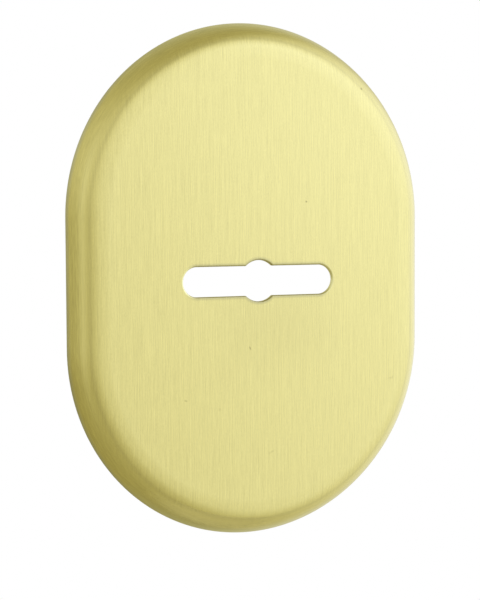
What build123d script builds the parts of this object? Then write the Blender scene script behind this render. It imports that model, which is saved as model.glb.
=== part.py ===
from build123d import *
import os
from math import cos, radians, sin, sqrt

# Door escutcheon: one sheet of brass, drawn into a shallow obround cover with a slot for a double-bit key.
# Millimetres. +Z is up, the face looks along -Y, and the trimmed back edge lies on the door at Y = 0.
# The origin is the point where the axis of the key meets the door.

# Driving dimensions
plate_width = 80.0
plate_height = 106.0
plate_depth = 5.0
sheet_thickness = 0.8
crown_radius = 25.0
crown_angle = 5.0
bend_radius = 4.5
bend_angle = 30.0
flank_radius = 8.0
slot_length = 33.9
slot_height = 6.1
shank_hole_diameter = 8.5
slot_corner_radius = 0.4
punched_edge_radius = 0.35

# The rim has three arcs that run smoothly into each other: a slight crown off the flat face, a tighter bend
# and a wide flank. The angles are the slope of the sheet where the crown and the bend end.
# The centre of the flank lies behind the door plane where the flank is trimmed before it stands upright.
crown_to_bend = crown_radius - bend_radius
bend_to_flank = bend_radius - flank_radius
flank_centre_forward = (
    plate_depth
    - crown_radius
    + crown_to_bend * cos(radians(crown_angle))
    + bend_to_flank * cos(radians(bend_angle))
)
flank_centre_behind = max(-flank_centre_forward, 0.0)
flank_reach = sqrt(flank_radius**2 - flank_centre_behind**2)
rim_reach = (
    crown_to_bend * sin(radians(crown_angle))
    + bend_to_flank * sin(radians(bend_angle))
    + flank_reach
)
face_radius = plate_width / 2 - rim_reach
half_straight = (plate_height - plate_width) / 2


def drawn_form(wall):
    """Solid behind the front of the sheet, with its surface moved inwards by the wall."""
    front = -(plate_depth - wall)
    behind = flank_radius
    face = Line((0, front), (face_radius, front))
    crown = JernArc(face @ 1, (1, 0), crown_radius - wall, crown_angle)
    bend = JernArc(crown @ 1, crown % 1, bend_radius - wall, bend_angle - crown_angle)
    flank = JernArc(bend @ 1, bend % 1, flank_radius - wall, 90 - bend_angle)
    back = Polyline(flank @ 1, ((flank @ 1).X, behind), (0, behind), (0, front))
    section = make_face(face + crown + bend + flank + back)
    half_turn = revolve(section, Axis.Y, 180)
    lower_end = Pos(0, 0, -half_straight) * half_turn
    upper_end = Pos(0, 0, half_straight) * Rot(0, 180, 0) * half_turn
    middle = extrude(section + mirror(section, Plane.YZ), half_straight, both=True)
    form = middle + lower_end + upper_end
    return split(form, bisect_by=Plane.XZ, keep=Keep.TOP)


def key_slot():
    """Punch for the slot: two round-ended wings for the bits and a round hole for the shank."""
    wings = SlotOverall(slot_length, slot_height)
    outline = wings + Circle(shank_hole_diameter / 2)
    corners = outline.vertices().filter_by(lambda corner: abs(corner.X) < shank_hole_diameter / 2)
    outline = fillet(corners, slot_corner_radius)
    return extrude(Plane.XZ * outline, amount=2 * plate_depth)


def escutcheon():
    """The whole cover, with the edge that the punch rolled over on the front of the slot."""
    cover = drawn_form(0.0) - drawn_form(sheet_thickness) - key_slot()
    slot_edges = cover.faces().sort_by(Axis.Y)[0].inner_wires()[0].edges()
    return fillet(slot_edges, punched_edge_radius)


os.makedirs("parts", exist_ok=True)
export_step(escutcheon(), "parts/cover.step")
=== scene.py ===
import math

import bmesh
import bpy
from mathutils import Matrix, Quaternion, Vector


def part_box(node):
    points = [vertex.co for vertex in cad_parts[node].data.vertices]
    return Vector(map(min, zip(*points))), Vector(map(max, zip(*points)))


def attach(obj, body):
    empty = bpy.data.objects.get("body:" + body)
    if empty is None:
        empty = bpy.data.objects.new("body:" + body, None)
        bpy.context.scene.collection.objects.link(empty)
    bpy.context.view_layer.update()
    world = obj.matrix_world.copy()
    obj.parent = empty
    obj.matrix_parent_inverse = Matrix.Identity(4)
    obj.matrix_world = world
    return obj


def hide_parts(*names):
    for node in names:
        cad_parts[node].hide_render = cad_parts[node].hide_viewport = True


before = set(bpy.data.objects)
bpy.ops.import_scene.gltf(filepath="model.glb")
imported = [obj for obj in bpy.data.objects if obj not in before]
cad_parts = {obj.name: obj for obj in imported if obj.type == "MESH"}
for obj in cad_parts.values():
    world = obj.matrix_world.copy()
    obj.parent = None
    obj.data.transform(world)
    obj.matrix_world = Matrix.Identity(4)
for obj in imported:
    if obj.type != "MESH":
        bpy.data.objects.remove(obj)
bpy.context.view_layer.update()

# A millimetre, and the distance below which two points count as one
MM = 0.001
TOUCH = 0.001 * MM


def radians(*angles):
    """Angles in degrees, such as the two edges of a light, as radians."""
    return [math.radians(angle) for angle in angles]


# Sizes of the cover
cover_low, cover_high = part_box("cover")
plate_width = cover_high.x - cover_low.x
plate_height = cover_high.z - cover_low.z
plate_depth = cover_high.y - cover_low.y
sheet_thickness = 0.8 * MM
crown_radius = 25 * MM
crown_angle = math.radians(5)
bend_radius = 4.5 * MM
bend_angle = math.radians(30)
flank_radius = 8 * MM
slot_length = 33.9 * MM
slot_height = 6.1 * MM
shank_hole_radius = 4.25 * MM
slot_corner_radius = 0.4 * MM
punched_edge_radius = 0.35 * MM

# How the rim is drawn: three arcs that run into each other, the last of them trimmed at the door
crown_to_bend = crown_radius - bend_radius
bend_to_flank = bend_radius - flank_radius
flank_centre_behind = (
    crown_radius
    - plate_depth
    - crown_to_bend * math.cos(crown_angle)
    - bend_to_flank * math.cos(bend_angle)
)
flank_reach = math.sqrt(flank_radius**2 - flank_centre_behind**2)
rim_reach = crown_to_bend * math.sin(crown_angle) + bend_to_flank * math.sin(bend_angle) + flank_reach
trimmed_width = flank_radius - flank_reach
face_radius = plate_width / 2 - rim_reach
half_straight = (plate_height - plate_width) / 2
rim_arcs = [
    (crown_radius, 0, crown_angle),
    (bend_radius, crown_angle, bend_angle),
    (flank_radius, bend_angle, math.pi / 2),
]

# How finely the round stretches are divided
outline_steps = 64
rim_step = 0.3 * MM
slot_steps = 16
shank_hole_steps = 96
small_edge_steps = 6

# A face runs straight through the sheet if its normal leans less than this to the front or the back.
# Faces that meet at less than the smooth angle are shaded as one, and the weight lets large flats prevail.
wall_lean = 0.05
smooth_angle = math.radians(35)
flat_weight = 100

# Colours of the brass, as they look in white light, and of the painted shade, reflection and highlight on it
brass_colour = (0.80, 0.74, 0.31, 1)
# Specks and nicks, and also the faint painted shade below the slot
mark_and_shade_colour = (0.36, 0.32, 0.12, 1)
# Painted shade: the dark line along the slot and the fainter one in the crease of the bend
painted_shade_colour = (0.33, 0.32, 0.20, 1)
# Greyer colour along the door edge of the rim
edge_grey_colour = (0.63, 0.63, 0.43, 1)
# Painted paler reflection at the top and the bottom of the rim
painted_reflection_colour = (0.86, 0.86, 0.54, 1)
# Painted highlight at the two ends of the slot
painted_highlight_colour = (0.97, 0.96, 0.58, 1)
punched_colour = (0.80, 0.78, 0.48, 1)
punched_bright_colour = (0.92, 0.90, 0.58, 1)
back_colour = (0.72, 0.64, 0.26, 1)
back_cloud_colour = (0.61, 0.54, 0.22, 1)

# Satin front: its roughness, what its fine lines do to roughness, brightness and height, how far they stretch
# a reflection, and the thin lacquer over them
brass_roughness = 0.23
line_roughness = 0.06
line_contrast = 0.29
line_height = 0.004 * MM
reflection_stretch = 0.5
lacquer_weight = 0.3
lacquer_roughness = 0.15

# Brush lines on the blank: width and length of a line, and how much it shows
brush_lines = [
    (0.20 * MM, 0.50 * MM, 0.28),
    (0.17 * MM, 2.5 * MM, 0.33),
    (0.19 * MM, 8 * MM, 0.45),
    (0.36 * MM, 30 * MM, 0.28),
]

# Lines along the rim, which is polished lengthwise: width and length of a line, and how much it shows.
# Between these two distances from the edge of the blank they give way to the brush lines.
rim_lines = [
    (0.35 * MM, 25 * MM, 0.40),
    (0.28 * MM, 2.5 * MM, 0.60),
]
brushed_from = (2.5 * MM, 6.5 * MM)

# Torn ends of the brush lines along the crease, where the brush left the face: width and length of a line,
# how far the surface tilts along it, the middle and reach of the crease, measured from the edge of the blank,
# and how high and low on the blank the tearing begins and is at its most
torn_line = (0.22 * MM, 1.4 * MM)
torn_tilt = 0.14
crease_middle = 7 * MM
crease_reach = 4 * MM
crease_ends = (half_straight, half_straight + 20 * MM)

# Marks on the face, the last a faint painted shade below the slot: place on the blank, length and width in
# millimetres, slope in degrees, and how dark it is
marks_and_shade_patch = [
    (24.4, 40.0, 0.40, 0.36, 0, 1.0),
    (10.9, 16.2, 0.30, 0.28, 0, 1.0),
    (-2.2, -13.8, 0.60, 0.24, -68, 0.8),
    (-16.6, -23.9, 0.48, 0.30, -20, 0.5),
    (-9.1, -26.1, 0.60, 0.50, 0, 0.16),
    (31.1, -21.6, 1.00, 0.34, 0, 0.2),
    (31.6, -21.3, 0.35, 0.30, 45, 0.2),
    (2.6, -35.6, 1.10, 0.38, 28, 0.2),
    # Faint painted shade below the slot
    (4.0, -9.0, 20.0, 17.0, 0, 0.10),
]

# Edge of the slot: painted shade in a dark line along it, which gives way at the two ends to a painted
# highlight
slot_ends = (slot_length / 2 - slot_height / 2, slot_length / 2)
slot_shade_width = 0.9 * MM
slot_shade_darkness = 0.65
slot_end_highlight_width = 0.5 * MM

# A fainter line of painted shade in the crease where the bend meets the flank, at this distance from the edge
# of the blank
bend_end = flank_radius * (math.asin(flank_reach / flank_radius) - bend_angle)
bend_shade_width = 0.7 * MM
bend_shade_darkness = 0.12

# How far in from the door the colour turns greyer, how far in a painted paler reflection lies at the top and
# the bottom, and how high and low on the blank that begins and is at its most
edge_grey_width = 1.4 * MM
painted_reflection_width = 4.5 * MM
painted_reflection_from = (38 * MM, 53 * MM)

# Wall of the slot and trimmed edge: size of the marks of the tool, and the roughness with what they add to it
tool_mark_size = (0.15 * MM, 1.5 * MM, 0.15 * MM)
punched_roughness = 0.5
tool_mark_roughness = 0.1

# Rolled sheet of the back: size of its clouds and of its lines, and the roughness with what each adds to it
cloud_size = (14 * MM, 14 * MM, 14 * MM)
cloud_detail = 4.0
rolling_line_size = (0.5 * MM, 0.5 * MM, 30 * MM)
back_roughness = 0.36
cloud_roughness = 0.06
rolling_line_roughness = 0.04

# Studio as seen from the cover, in azimuth to the right of its face and in elevation: a warm dim room, whose
# red and blue are powers of its level. An edge is the stretch over which a light grows or fades.
dim_level = 0.412
red_power = 0.90
blue_power = 1.62

# Broad light on the right, which grows in two steps. Its top edge runs level, so it is given as height over
# distance ahead, and a direction that hardly leads ahead counts as the least distance.
light_azimuth = math.radians(47)
near_level = 0.445
near_edge = radians(-66, 32)
core_level = 0.398
core_edge = radians(16, 30)
far_edge = radians(106, 180)
low_edge = radians(-91, 22)
top_edge = (-1.20, 2.90)
least_ahead = 0.15

# Soft patches of light, as level, azimuth and its reach, elevation and its reach: a wide glow above, a faint
# haze in front, and a strip on the left
soft_lights = [
    (0.30, radians(0, 298), radians(26, 50)),
    (0.05, radians(31, 14), radians(5, 10)),
    (0.223, radians(-63, 16), radians(1, 46)),
]

# Dark corner, low on the left behind the cover, and the white wall behind it. Their edges are cosines of the
# angle from their middle.
corner_level = 0.06
corner_place = radians(-150, -35)
corner_edge = (0.30, 0.90)
wall_azimuth = math.radians(-165)
wall_edge = (0.80, 0.97)
wall_height = math.radians(35)
wall_colour = (1, 1, 1, 1)

# Pale floor below the cover, which fades out towards its edge
floor_place = (40 * MM, -70 * MM)
floor_drop = 300 * MM
floor_radius = 170 * MM
floor_fade = (0.4 * floor_radius, floor_radius)
floor_steps = 96
floor_colour = (0.84, 0.82, 0.74, 1)

# Camera, fitted to the outline of the plate and of the slot in a frame of 480 by 600 pixels
frame_height_px = 600
camera_azimuth = math.radians(-25.03)
camera_elevation = math.radians(3.21)
camera_roll = math.radians(-0.305)
camera_distance = 320.8 * MM
camera_target = Vector((-2.11 * MM, 0, -4.14 * MM))
camera_nearest = 10 * MM
px_per_mm = 4.81


def facing(azimuth, elevation=0.0):
    """Direction from the cover: azimuth to the right of its face, and elevation."""
    level = math.cos(elevation)
    return Vector((math.sin(azimuth) * level, -math.cos(azimuth) * level, math.sin(elevation)))


def only_active(part):
    """Makes a part the one selected and active object."""
    bpy.ops.object.select_all(action="DESELECT")
    part.select_set(True)
    bpy.context.view_layer.objects.active = part


def pick_edges(part, test):
    """In edit mode, selects the edges that pass a test, and nothing else."""
    bpy.ops.mesh.select_mode(type="EDGE")
    bpy.ops.mesh.select_all(action="DESELECT")
    shape = bmesh.from_edit_mesh(part.data)
    for edge in shape.edges:
        if test(edge):
            edge.select_set(True)
    bmesh.update_edit_mesh(part.data)


def obround_plate(name, width, height, front, steps):
    """Adds a flat plate that faces -Y and rounds its corners into two half circles, left in edit mode."""
    bpy.ops.object.select_all(action="DESELECT")
    bpy.ops.mesh.primitive_plane_add(size=1, location=(0, front, 0), rotation=(math.pi / 2, 0, 0))
    plate = bpy.context.object
    plate.name = name
    plate.scale = (width, height, 1)
    bpy.ops.object.transform_apply(location=True, rotation=True, scale=True)
    bpy.ops.object.mode_set(mode="EDIT")
    bpy.ops.mesh.select_all(action="SELECT")
    bpy.ops.mesh.bevel(offset=min(width, height) / 2, segments=steps, affect="VERTICES")
    bpy.ops.mesh.select_all(action="SELECT")
    bpy.ops.mesh.remove_doubles(threshold=TOUCH)
    return plate


def draw_arc(radius, start, end):
    """Insets the selected face and brings it forwards along one arc of the rim, from the outside inwards."""
    steps = round(radius * (end - start) / rim_step)
    turn = (end - start) / steps
    for count in range(steps):
        outer = end - count * turn
        inner = outer - turn
        inwards = radius * (math.sin(outer) - math.sin(inner))
        forwards = radius * (math.cos(inner) - math.cos(outer))
        bpy.ops.mesh.inset(thickness=inwards, depth=forwards)


def thicken(cover):
    """Gives the drawn surface the thickness of the sheet, behind its front."""
    sheet = cover.modifiers.new("sheet", "SOLIDIFY")
    sheet.thickness = sheet_thickness
    sheet.offset = -1
    sheet.use_even_offset = True
    bpy.ops.object.modifier_apply(modifier=sheet.name)


def trim_at_door(cover):
    """Cuts the rim off at the plane of the door and closes the cut."""
    bpy.ops.object.mode_set(mode="EDIT")
    bpy.ops.mesh.select_all(action="SELECT")
    bpy.ops.mesh.bisect(plane_co=(0, 0, 0), plane_no=(0, 1, 0), clear_outer=True, threshold=TOUCH)
    pick_edges(cover, lambda edge: edge.is_boundary)
    bpy.ops.mesh.bridge_edge_loops()
    bpy.ops.object.mode_set(mode="OBJECT")


def drawn_sheet():
    """The drawn cover before the slot is punched: face, rounded rim and a flat trimmed back edge."""
    full_width = plate_width + 2 * trimmed_width
    full_height = plate_height + 2 * trimmed_width
    cover = obround_plate("brass_cover", full_width, full_height, flank_centre_behind, outline_steps)
    for radius, start, end in reversed(rim_arcs):
        draw_arc(radius, start, end)
    bpy.ops.object.mode_set(mode="OBJECT")
    thicken(cover)
    trim_at_door(cover)
    return cover


def cut_away(part, cutter):
    """Takes the shape of a cutter out of a part."""
    only_active(part)
    cut = part.modifiers.new("cut", "BOOLEAN")
    cut.operation = "DIFFERENCE"
    cut.solver = "EXACT"
    cut.object = cutter
    bpy.ops.object.modifier_apply(modifier=cut.name)
    bpy.data.objects.remove(cutter)


def wings_punch(reach):
    """Punch for the two wings of the slot, from in front of the face back to the door."""
    wings = obround_plate("wings_punch", slot_length, slot_height, -reach, slot_steps)
    bpy.ops.mesh.select_all(action="SELECT")
    bpy.ops.mesh.extrude_region_move(TRANSFORM_OT_translate={"value": (0, reach, 0)})
    bpy.ops.mesh.select_all(action="SELECT")
    bpy.ops.mesh.normals_make_consistent(inside=False)
    bpy.ops.object.mode_set(mode="OBJECT")
    return wings


def shank_punch(reach):
    """Punch for the round hole in the middle of the slot, from in front of the face back to the door."""
    bpy.ops.mesh.primitive_cylinder_add(
        vertices=shank_hole_steps,
        radius=shank_hole_radius,
        depth=reach,
        location=(0, -reach / 2, 0),
        rotation=(math.pi / 2, 0, 0),
    )
    return bpy.context.object


def punch_slot(cover):
    """Punches the wings and the shank hole, and rounds the four corners and the front edge."""
    reach = 2 * plate_depth
    cut_away(cover, wings_punch(reach))
    cut_away(cover, shank_punch(reach))
    bpy.ops.object.mode_set(mode="EDIT")
    pick_edges(cover, slot_corner)
    corner_turn = math.acos(slot_height / 2 / shank_hole_radius)
    bpy.ops.mesh.bevel(
        offset=slot_corner_radius * math.tan(corner_turn / 2),
        segments=small_edge_steps,
        affect="EDGES",
    )
    pick_edges(cover, lambda edge: on_front(edge) and in_slot(edge))
    bpy.ops.mesh.bevel(offset=punched_edge_radius, segments=small_edge_steps, affect="EDGES")
    bpy.ops.object.mode_set(mode="OBJECT")


def slot_corner(edge):
    """True on the edges through the sheet where a wing meets the shank hole."""
    start, end = (point.co for point in edge.verts)
    through = abs(start.y - end.y) > sheet_thickness / 2
    beside_hole = abs(start.x) < shank_hole_radius and abs(abs(start.z) - slot_height / 2) < TOUCH
    return through and beside_hole


def on_front(edge):
    """True on the edges in the plane of the face."""
    return all(abs(point.co.y + plate_depth) < TOUCH for point in edge.verts)


def in_slot(edge):
    """True on the edges that bound the slot, where the sheet ends."""
    beside_wall = any(is_wall(face) for face in edge.link_faces)
    return beside_wall and all(abs(point.co.z) < shank_hole_radius + TOUCH for point in edge.verts)


def is_wall(face):
    """True on a face that runs straight through the sheet."""
    return abs(face.normal.y) < wall_lean


def finish_normals(cover):
    """Smooths the round stretches and keeps the flats flat, also along their borders."""
    only_active(cover)
    bpy.ops.object.shade_smooth_by_angle(angle=smooth_angle)
    flats = cover.modifiers.new("flats", "WEIGHTED_NORMAL")
    flats.mode = "FACE_AREA"
    flats.weight = flat_weight
    flats.keep_sharp = True
    bpy.ops.object.modifier_apply(modifier=flats.name)


def middle_and_outwards(place):
    """The nearest point of the cover's upright middle line, and the way out from there to a place."""
    middle = Vector((0, 0, max(-half_straight, min(half_straight, place.z))))
    return middle, Vector((place.x, 0, place.z)) - middle


def length_on_blank(outwards):
    """How far out on the flat blank a place was that now lies this far out on the cover."""
    length = min(outwards, face_radius)
    arc_start = face_radius
    for radius, start, end in rim_arcs:
        arc_width = radius * (math.sin(end) - math.sin(start))
        past_start = max(0.0, min(arc_width, outwards - arc_start))
        length += radius * (math.asin(past_start / radius + math.sin(start)) - start)
        arc_start += arc_width
    return length


def mark_blank(cover):
    """Stores where each point lay on the flat blank, before the rim was drawn, and how far from its edge."""
    places = []
    from_edge = []
    blank_radius = length_on_blank(plate_width / 2)
    for point in cover.data.vertices:
        middle, outwards = middle_and_outwards(point.co)
        length = length_on_blank(outwards.length)
        places.extend(middle + outwards.normalized() * length)
        from_edge.append(blank_radius - length)
    attributes = cover.data.attributes
    attributes.new("blank_place", "FLOAT_VECTOR", "POINT").data.foreach_set("vector", places)
    attributes.new("from_edge", "FLOAT", "POINT").data.foreach_set("value", from_edge)


class Shade:
    """A socket of a node tree. Arithmetic on it adds Math nodes to the tree."""

    def __init__(self, tree, socket=None):
        self.tree = tree
        self.socket = socket

    def node(self, kind, sockets, out=0, **settings):
        """Adds a node: its settings are set first, then the values or links of its sockets."""
        made = self.tree.nodes.new(kind)
        for name, value in settings.items():
            setattr(made, name, value)
        for name, value in sockets.items():
            if isinstance(value, Shade):
                self.tree.links.new(value.socket, made.inputs[name])
            else:
                made.inputs[name].default_value = value
        return Shade(self.tree, made.outputs[out] if made.outputs else None)

    def math(self, operation, first, second=0.0):
        """A Math node on one value or two."""
        return self.node("ShaderNodeMath", {0: first, 1: second}, operation=operation)

    def __add__(self, other):
        return self.math("ADD", self, other)

    def __sub__(self, other):
        return self.math("SUBTRACT", self, other)

    def __rsub__(self, other):
        return self.math("SUBTRACT", other, self)

    def __mul__(self, other):
        return self.math("MULTIPLY", self, other)

    __radd__ = __add__
    __rmul__ = __mul__

    def step(self, start, end):
        """0 below the start, 1 above the end and smooth between."""
        return self.node(
            "ShaderNodeMapRange",
            {"Value": self, "From Min": start, "From Max": end},
            interpolation_type="SMOOTHSTEP",
        )

    def within(self, reach):
        """1 at zero or below, and smoothly down to 0 at the reach."""
        return 1 - self.step(0, reach)

    def around(self, centre, reach):
        """1 at the centre, and smoothly down to 0 at the reach on either side."""
        return self.math("ABSOLUTE", self - centre).within(reach)

    def moved(self, offset):
        """This vector with another added to it."""
        return self.node("ShaderNodeVectorMath", {0: self, 1: offset}, operation="ADD")

    def along(self, direction):
        """How far a vector reaches in a direction."""
        return self.node(
            "ShaderNodeVectorMath",
            {0: self, 1: direction},
            out="Value",
            operation="DOT_PRODUCT",
        )

    def size(self):
        """Length of a vector."""
        return self.node("ShaderNodeVectorMath", {0: self}, out="Value", operation="LENGTH")

    def size_along(self, direction):
        """How far a vector reaches in a direction or against it."""
        return self.math("ABSOLUTE", self.along(direction))

    def grain(self, size, detail=2.0):
        """Noise from -1 to 1 whose blobs have the given size on each axis."""
        scaled = self.node(
            "ShaderNodeVectorMath",
            {0: self, 1: [1 / extent for extent in size]},
            operation="MULTIPLY",
        )
        noise = self.node("ShaderNodeTexNoise", {"Vector": scaled, "Scale": 1.0, "Detail": detail})
        return 2 * noise - 1

    def mixed(self, first, second):
        """The first colour where this value is 0 and the second where it is 1."""
        # The node has its sockets once for each kind of value, and these numbers are those for colours
        return self.node("ShaderNodeMix", {0: self, 6: first, 7: second}, out=2, data_type="RGBA")

    def brightened(self, factor):
        """This colour times a factor."""
        return self.node("ShaderNodeHueSaturation", {"Color": self, "Value": factor})


def new_material(name):
    """An empty material and the start of its tree."""
    material = bpy.data.materials.new(name)
    material.use_nodes = True
    material.node_tree.nodes.clear()
    return material, Shade(material.node_tree)


def metal_surface(start, sockets):
    """Ends a material in a metal surface with these values or links on its sockets."""
    metal = start.node("ShaderNodeBsdfPrincipled", {"Metallic": 1.0, **sockets})
    start.node("ShaderNodeOutputMaterial", {"Surface": metal})


def marks_and_painted_shade(place):
    """Where the specks, the nicks and the painted shade below the slot lie on the blank: 0 off them, and up
    to 1 on the darkest.
    """
    covered = 0.0
    for right, upwards, length, width, slope, darkness in marks_and_shade_patch:
        lean = math.radians(slope)
        lengthwise = (math.cos(lean), 0, math.sin(lean))
        across = (-math.sin(lean), 0, math.cos(lean))
        centre = Vector((right, 0, upwards)) * MM
        on_length = place.along(lengthwise).around(centre.dot(lengthwise), length * MM)
        on_width = place.along(across).around(centre.dot(across), width * MM)
        covered = covered + darkness * (on_length * on_width)
    return covered


def distance_from_slot(place):
    """How far a place on the blank lies from the outline of the wings and the shank hole."""
    past_straight = place.size_along((1, 0, 0)) - (slot_length - slot_height) / 2
    sideways = place.math("MAXIMUM", past_straight, 0.0)
    to_wings = place.node("ShaderNodeCombineXYZ", {"X": sideways, "Z": place.along((0, 0, 1))})
    return place.math("MINIMUM", to_wings.size() - slot_height / 2, place.size() - shank_hole_radius)


def fine_lines(place, from_edge):
    """Lines of the satin finish, about -1 to 1: upright ones on the face and lengthwise ones on the rim."""
    rim_place = place.moved(place.node("ShaderNodeCombineXYZ", {"Y": from_edge}))
    polished = sum(share * rim_place.grain((length, width, length)) for width, length, share in rim_lines)
    brushed = sum(share * place.grain((width, 1, length)) for width, length, share in brush_lines)
    on_face = from_edge.step(*brushed_from)
    return on_face * brushed + (1 - on_face) * polished


def marked_and_painted_colour(place, from_edge):
    """Colour of the brass with its greyer door edge and its marks, and the painted shade, reflection and
    highlight.
    """
    # Painted paler reflection near the door edge at the top and the bottom of the rim
    top_bottom_reflection = from_edge.within(painted_reflection_width) * place.size_along((0, 0, 1)).step(*painted_reflection_from)
    # Greyer along the door edge, where the painted reflection is not
    edge_grey = from_edge.within(edge_grey_width) * (1 - top_bottom_reflection)
    colour = edge_grey.mixed(top_bottom_reflection.mixed(brass_colour, painted_reflection_colour), edge_grey_colour)
    # Specks and nicks, and a faint painted shade below the slot
    colour = marks_and_painted_shade(place).mixed(colour, mark_and_shade_colour)
    from_slot = distance_from_slot(place)
    at_ends = place.size_along((1, 0, 0)).step(*slot_ends)
    # Painted shade in a dark line along the slot, except at its ends
    slot_shade = slot_shade_darkness * (from_slot.within(slot_shade_width) * (1 - at_ends))
    # Painted shade in the crease where the bend runs into the flank
    bend_shade = bend_shade_darkness * from_edge.around(bend_end, bend_shade_width)
    colour = (slot_shade + bend_shade).mixed(colour, painted_shade_colour)
    # Painted highlight on the edge at the two ends of the slot
    slot_end_highlight = from_slot.within(slot_end_highlight_width) * at_ends
    return slot_end_highlight.mixed(colour, painted_highlight_colour)


def torn_normal(place, from_edge):
    """Normal of the surface, tilted up and down where the ends of the brush lines are torn."""
    width, length = torn_line
    on_ends = place.size_along((0, 0, 1)).step(*crease_ends)
    on_crease = from_edge.around(crease_middle, crease_reach) * on_ends
    torn = place.grain((width, 1, length)) * on_crease
    normal = place.node("ShaderNodeNewGeometry", {}, out="Normal")
    return normal.moved(place.node("ShaderNodeCombineXYZ", {"Z": torn_tilt * torn}))


def satin_brass():
    """The lacquered front: a face brushed in upright lines and a rim polished along its length."""
    material, start = new_material("satin_brass")
    place = start.node("ShaderNodeAttribute", {}, out="Vector", attribute_name="blank_place")
    from_edge = start.node("ShaderNodeAttribute", {}, out="Fac", attribute_name="from_edge")
    lines = fine_lines(place, from_edge)
    normal = torn_normal(place, from_edge)
    relief = start.node(
        "ShaderNodeBump",
        {"Strength": 1.0, "Distance": line_height, "Height": lines, "Normal": normal},
    )
    metal_surface(start, {
        "Base Color": marked_and_painted_colour(place, from_edge).brightened(1 + line_contrast * lines),
        "Roughness": brass_roughness + line_roughness * lines,
        "Anisotropic": reflection_stretch,
        "Coat Weight": lacquer_weight,
        "Coat Roughness": lacquer_roughness,
        "Normal": relief,
    })
    return material


def punched_edge():
    """The torn wall of the slot and the trimmed back edge: dull bare brass with marks of the tool."""
    material, start = new_material("punched_edge")
    place = start.node("ShaderNodeTexCoord", {}, out="Object")
    tool_marks = place.grain(tool_mark_size)
    metal_surface(start, {
        "Base Color": tool_marks.step(-1, 1).mixed(punched_colour, punched_bright_colour),
        "Roughness": punched_roughness + tool_mark_roughness * tool_marks,
    })
    return material


def bare_back():
    """The hollow back: the rolled sheet as it came, with faint clouds and rolling lines."""
    material, start = new_material("bare_back")
    place = start.node("ShaderNodeTexCoord", {}, out="Object")
    clouds = place.grain(cloud_size, cloud_detail)
    lines = place.grain(rolling_line_size)
    metal_surface(start, {
        "Base Color": clouds.step(-1, 1).mixed(back_colour, back_cloud_colour),
        "Roughness": back_roughness + cloud_roughness * clouds + rolling_line_roughness * lines,
    })
    return material


def dress(cover):
    """Gives the front, the punched and trimmed edges and the hollow back their finishes."""
    finishes = [satin_brass(), punched_edge(), bare_back()]
    front, cut, back = range(len(finishes))
    for finish in finishes:
        cover.data.materials.append(finish)
    for face in cover.data.polygons:
        _, outwards = middle_and_outwards(face.center)
        in_slot_wall = is_wall(face) and outwards.length < face_radius
        trimmed = face.center.y > -TOUCH
        if in_slot_wall or trimmed:
            face.material_index = cut
        elif face.normal.y > wall_lean:
            face.material_index = back
        else:
            face.material_index = front


def broad_light(direction, azimuth, elevation):
    """Level of the broad light on the right."""
    ahead = direction.along(facing(light_azimuth))
    distance = direction.math("MAXIMUM", ahead, least_ahead)
    rise = direction.math("DIVIDE", direction.along((0, 0, 1)), distance)
    beside = near_level * azimuth.step(*near_edge) + core_level * azimuth.step(*core_edge)
    return beside * (1 - azimuth.step(*far_edge)) * (1 - rise.step(*top_edge)) * elevation.step(*low_edge)


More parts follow.
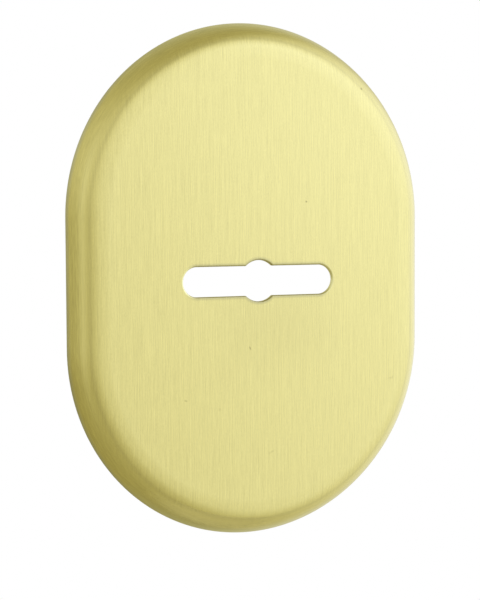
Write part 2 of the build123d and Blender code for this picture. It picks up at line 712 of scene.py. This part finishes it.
def studio_world():
    """The studio: a warm dim room with its lights and its dark corner, and a white wall behind the cover."""
    world = bpy.data.worlds.new("studio")
    bpy.context.scene.world = world
    world.use_nodes = True
    world.node_tree.nodes.clear()
    start = Shade(world.node_tree)
    direction = start.node("ShaderNodeTexCoord", {}, out="Generated")
    azimuth = start.math("ARCTAN2", direction.along((1, 0, 0)), direction.along((0, -1, 0)))
    elevation = start.math("ARCSINE", direction.along((0, 0, 1)))
    level = dim_level + broad_light(direction, azimuth, elevation)
    for patch_level, sideways, upwards in soft_lights:
        level = level + patch_level * (azimuth.around(*sideways) * elevation.around(*upwards))
    level = level - corner_level * direction.along(facing(*corner_place)).step(*corner_edge)
    room = start.node("ShaderNodeCombineColor", {
        "Red": start.math("POWER", level, red_power),
        "Green": level,
        "Blue": start.math("POWER", level, blue_power),
    })
    wall = direction.along(facing(wall_azimuth)).step(*wall_edge) * elevation.around(0, wall_height)
    straight = start.node("ShaderNodeLightPath", {}, out="Is Camera Ray")
    colour = start.math("MAXIMUM", wall, straight).mixed(room, wall_colour)
    background = start.node("ShaderNodeBackground", {"Color": colour, "Strength": 1.0})
    start.node("ShaderNodeOutputWorld", {"Surface": background})


def pale_floor():
    """A pale floor below the cover and in front of it, seen in the brass but not against the white."""
    bpy.ops.object.select_all(action="DESELECT")
    centre = (*floor_place, cover_low.z - floor_drop)
    bpy.ops.mesh.primitive_circle_add(
        vertices=floor_steps,
        radius=floor_radius,
        fill_type="NGON",
        location=centre,
    )
    floor = bpy.context.object
    floor.name = "floor"
    bpy.ops.object.transform_apply(location=True, rotation=False, scale=False)
    material, start = new_material("pale_floor")
    place = start.node("ShaderNodeTexCoord", {}, out="Object")
    from_centre = place.moved([-offset for offset in centre]).size()
    paint = start.node("ShaderNodeBsdfDiffuse", {"Color": floor_colour})
    clear = start.node("ShaderNodeBsdfTransparent", {})
    straight = start.node("ShaderNodeLightPath", {}, out="Is Camera Ray")
    unseen = start.math("MAXIMUM", from_centre.step(*floor_fade), straight)
    surface = start.node("ShaderNodeMixShader", {0: unseen, 1: paint, 2: clear})
    start.node("ShaderNodeOutputMaterial", {"Surface": surface})
    floor.data.materials.append(material)


def photo_camera():
    """The camera of the photograph: to the left of the plate and a little above it."""
    towards = facing(camera_azimuth, camera_elevation)
    bpy.ops.object.camera_add(location=camera_target + towards * camera_distance)
    camera = bpy.context.object
    camera.rotation_mode = "QUATERNION"
    roll = Quaternion((0, 0, 1), camera_roll)
    camera.rotation_quaternion = (-towards).to_track_quat("-Z", "Y") @ roll
    focal_px = px_per_mm * camera_distance / MM
    camera.data.lens = focal_px * camera.data.sensor_width / frame_height_px
    camera.data.clip_start = camera_nearest
    bpy.context.scene.camera = camera


cover = drawn_sheet()
punch_slot(cover)
finish_normals(cover)
mark_blank(cover)
dress(cover)
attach(cover, "root")
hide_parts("cover")

studio_world()
pale_floor()
photo_camera()
bpy.context.scene.view_settings.view_transform = "Standard"
